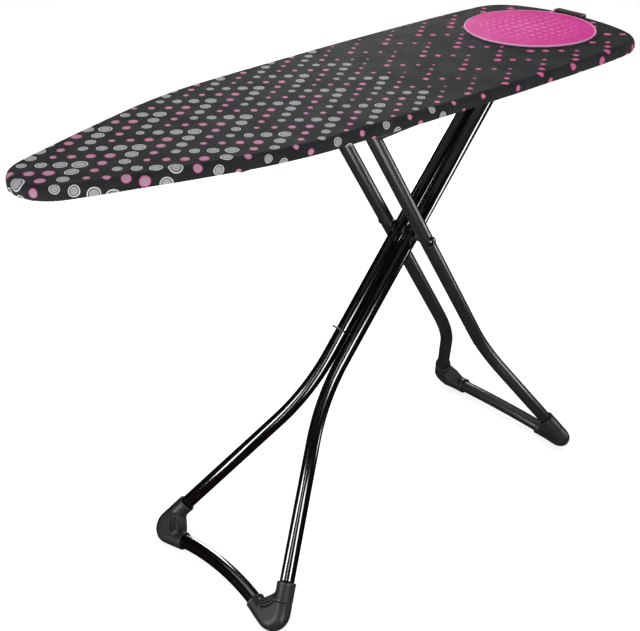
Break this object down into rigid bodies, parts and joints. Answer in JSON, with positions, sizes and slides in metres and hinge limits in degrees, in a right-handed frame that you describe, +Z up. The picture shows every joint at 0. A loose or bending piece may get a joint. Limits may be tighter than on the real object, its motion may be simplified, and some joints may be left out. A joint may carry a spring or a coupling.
{
  "type": "ironing board",
  "caption": "Folding ironing board with crossed tube legs, a padded dotted cover on a tapered table, a round heat-resistant iron rest and a height lever.",
  "frame": {"origin": "on the floor, midway between the ends and the sides of the standing board", "axes": "+X along the table from its nose to its square tail, +Y across it, +Z up from the floor"},
  "size_m": [1.223, 0.377, 0.8767],
  "materials": {
    "rim_steel": "satin grey powder coat",
    "panel_steel": "satin grey powder coat",
    "felt": "soft needled felt",
    "cover_cloth": "plain woven cotton with printed dots",
    "hem_elastic": "ribbed elastic",
    "mat_silicone": "matte silicone",
    "clip_brown": "satin paint",
    "frame_black": "satin powder coat",
    "zinc": "zinc plated",
    "spring_steel": "plain wire",
    "grip_plastic": "fine grain",
    "leg_a_black": "gloss paint",
    "leg_b_black": "semi-gloss paint",
    "cap_plastic": "fine grain",
    "clip_wire": "dark wire",
    "glide_nylon": "smooth nylon",
    "foot_plastic": "fine grain",
    "bolt_black": "satin black"
  },
  "bodies": {
    "board": {"cover": "cover_cloth", "cover_hem": "hem_elastic", "felt_pad": "felt", "mesh_panel": "panel_steel", "board_rim": "rim_steel", "rail_near": "frame_black", "rail_far": "frame_black", "cross_member_front": "frame_black", "cross_member_middle": "frame_black", "cross_member_rear": "frame_black", "hinge_bracket": "frame_black", "hinge_pin": "zinc", "hinge_pin_clips": "zinc", "height_rack": "frame_black", "rail_rivets": "zinc", "lever_bracket": "frame_black", "lever_spring": "spring_steel", "iron_mat": "mat_silicone", "mat_clip": "clip_brown"},
    "lever": {"release_lever": "zinc", "lock_pawl": "zinc", "lever_grip": "grip_plastic"},
    "leg_a": {"leg_a_tube_near": "leg_a_black", "leg_a_tube_far": "leg_a_black", "hinge_sleeve": "leg_a_black", "hinge_saddles": "leg_a_black", "leg_a_end_caps": "cap_plastic", "leg_a_wire_clip": "clip_wire", "leg_a_crossbar": "leg_a_black", "foot_a_near": "foot_plastic", "foot_a_far": "foot_plastic"},
    "leg_b": {"leg_b_tube_near": "leg_b_black", "leg_b_tube_far": "leg_b_black", "slide_bar": "zinc", "slide_bar_saddles": "leg_b_black", "leg_b_end_caps": "cap_plastic", "slide_glide_near": "glide_nylon", "slide_glide_far": "glide_nylon", "leg_b_crossbar": "leg_b_black", "foot_b_near": "foot_plastic", "foot_b_far": "foot_plastic", "pivot_bolt": "bolt_black", "pivot_washers": "bolt_black", "pivot_caps": "bolt_black", "pivot_spacers": "glide_nylon"}
  },
  "joints": [
    {"name": "leg_a_fold", "type": "hinge", "parent": "board", "child": "leg_a", "pos_m": [0.35037, 0, 0.8335], "axis": [0, 1, 0], "range_deg": [0, 49.3]},
    {"name": "leg_b_turn", "type": "hinge", "parent": "leg_a", "child": "leg_b", "pos_m": [0.145, 0, 0.5613], "axis": [0, -1, 0], "range_deg": [0, 107.75]},
    {"name": "lever_squeeze", "type": "hinge", "parent": "board", "child": "lever", "pos_m": [0.048, 0, 0.844], "axis": [0, 1, 0], "range_deg": [0, 8], "stiffness_Nm_per_rad": 2, "springref_deg": -5.73}
  ],
  "couplings": [
    {"joint": "leg_b_turn", "follows": "leg_a_fold", "ratio": 2.1846}
  ]
}
